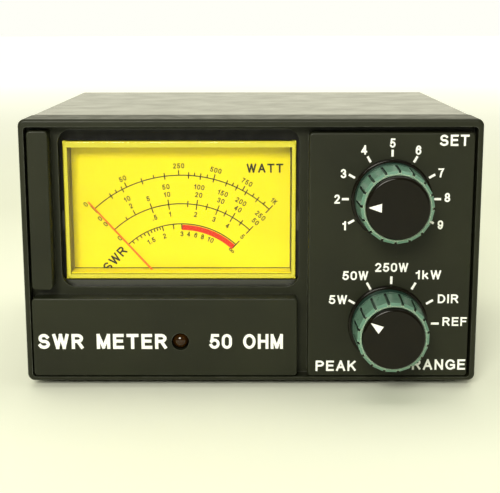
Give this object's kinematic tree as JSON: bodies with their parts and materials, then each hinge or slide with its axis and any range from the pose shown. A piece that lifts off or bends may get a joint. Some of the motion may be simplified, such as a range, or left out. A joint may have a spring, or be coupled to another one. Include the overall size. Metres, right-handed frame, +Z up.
{
  "type": "swr meter",
  "caption": "Bench meter for radio aerial lines: boxed case, lit dial with a needle, two control knobs on the front and two coaxial sockets at the rear.",
  "frame": {"origin": "middle of the meter's outline, on the surface that its feet stand on", "axes": "+Z up, -Y out of the dial and knobs, +Y out of the rear sockets, +X to the right as seen from the front"},
  "size_m": [0.1326, 0.141, 0.078],
  "materials": {
    "bezel_plastic": "fine satin moulded ABS",
    "case_paint": "satin black paint",
    "screw_steel": "bright zinc",
    "black_screw": "black oxide",
    "foot_rubber": "matt rubber",
    "knob_grip": "satin green-grey plastic",
    "knob_black": "gloss black plastic",
    "nickel": "bright nickel plate",
    "brass": "plain brass",
    "white_plastic": "white insulator",
    "window_clear": "clear polystyrene",
    "meter_plastic": "black moulded",
    "meter_housing": "translucent ivory moulding",
    "dial_face": "yellow printed plate",
    "soft_iron": "plated iron",
    "magnet": "cast magnet",
    "copper": "enamelled copper",
    "spindle_steel": "turned steel",
    "needle_paint": "orange-red paint",
    "spring_bronze": "phosphor bronze",
    "lamp_glass": "clear glass",
    "lamp_amber": "dark amber epoxy",
    "board_green": "solder mask",
    "board_brown": "phenolic board",
    "trimmer_blue": "moulded blue",
    "component_body": "lacquered"
  },
  "bodies": {
    "case": {"antenna_socket_shell": "nickel", "bezel_screws": "screw_steel", "board_fixings": "brass", "board_parts": "component_body", "chassis": "case_paint", "control_washers": "screw_steel", "core_magnet": "magnet", "core_spacers": "brass", "coupler_board": "board_green", "coupler_lines": "copper", "cover_screws": "black_screw", "dial_plate": "dial_face", "foot_screws": "screw_steel", "front_bezel": "bezel_plastic", "front_bridge": "brass", "hairsprings": "spring_bronze", "indicator_led": "lamp_amber", "jewel_screws": "brass", "lamp_board": "board_green", "lamp_jack": "meter_plastic", "lamp_jack_nut": "nickel", "led_retainer": "meter_plastic", "main_board": "board_green", "meter_case": "meter_housing", "meter_lamps": "lamp_glass", "meter_strap": "case_paint", "meter_terminals": "brass", "meter_window": "window_clear", "range_switch_body": "meter_plastic", "range_switch_bushing": "brass", "range_switch_nut": "screw_steel", "range_switch_pins": "brass", "rear_bridge": "brass", "rubber_feet": "foot_rubber", "set_pot_bushing": "screw_steel", "set_pot_can": "screw_steel", "set_pot_nut": "screw_steel", "set_pot_track": "board_brown", "socket_contacts": "brass", "socket_fixings": "screw_steel", "socket_insulators": "white_plastic", "strap_screws": "screw_steel", "top_cover": "case_paint", "trimmers": "trimmer_blue", "tx_socket_shell": "nickel", "yoke_ring": "soft_iron"},
    "set_knob": {"set_knob_skirt": "knob_black", "set_knob_body": "knob_grip", "set_knob_cap": "knob_black", "set_shaft": "spindle_steel", "set_wiper": "spring_bronze"},
    "range_knob": {"range_knob_skirt": "knob_black", "range_knob_body": "knob_grip", "range_knob_cap": "knob_black", "range_shaft": "spindle_steel", "range_rotor": "white_plastic"},
    "needle": {"pointer": "needle_paint", "moving_coil": "copper", "pivot_staffs": "spindle_steel"}
  },
  "joints": [
    {"name": "set_turn", "type": "hinge", "parent": "case", "child": "set_knob", "pos_m": [0.0396, -0.05405, 0.0555], "axis": [0, 1, 0], "range_deg": [-62, 238]},
    {"name": "range_turn", "type": "hinge", "parent": "case", "child": "range_knob", "pos_m": [0.0393, -0.05405, 0.0192], "axis": [0, 1, 0], "range_deg": [0, 150]},
    {"name": "needle_swing", "type": "hinge", "parent": "case", "child": "needle", "pos_m": [-0.0204, -0.05405, 0.0226], "axis": [0, 1, 0], "range_deg": [0, 84.4], "stiffness_Nm_per_rad": 0.0001}
  ]
}
